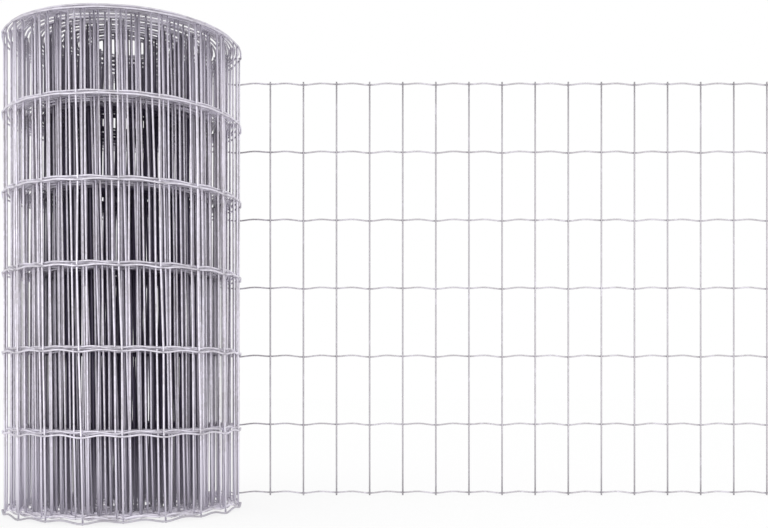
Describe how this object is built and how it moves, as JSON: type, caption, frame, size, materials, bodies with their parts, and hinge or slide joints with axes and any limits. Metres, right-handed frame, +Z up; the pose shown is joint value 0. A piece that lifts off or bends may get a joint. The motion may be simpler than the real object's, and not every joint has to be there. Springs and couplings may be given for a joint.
{
  "type": "roll of wire fencing",
  "caption": "Roll of galvanised welded wire fencing standing on its end, with an open core and one stretch of the mesh unrolled flat behind it.",
  "frame": {"origin": "on the floor, on the axis of the roll's open core", "axes": "+Z up along the core, +X along the unrolled stretch, which leaves the back of the roll on its +Y side"},
  "size_m": [1.0756, 0.3165, 0.6211],
  "materials": {
    "galvanised_wire": "satin zinc coat"
  },
  "bodies": {
    "root": {"wound_roll": "galvanised_wire", "unrolled_mesh": "galvanised_wire"}
  },
  "joints": []
}
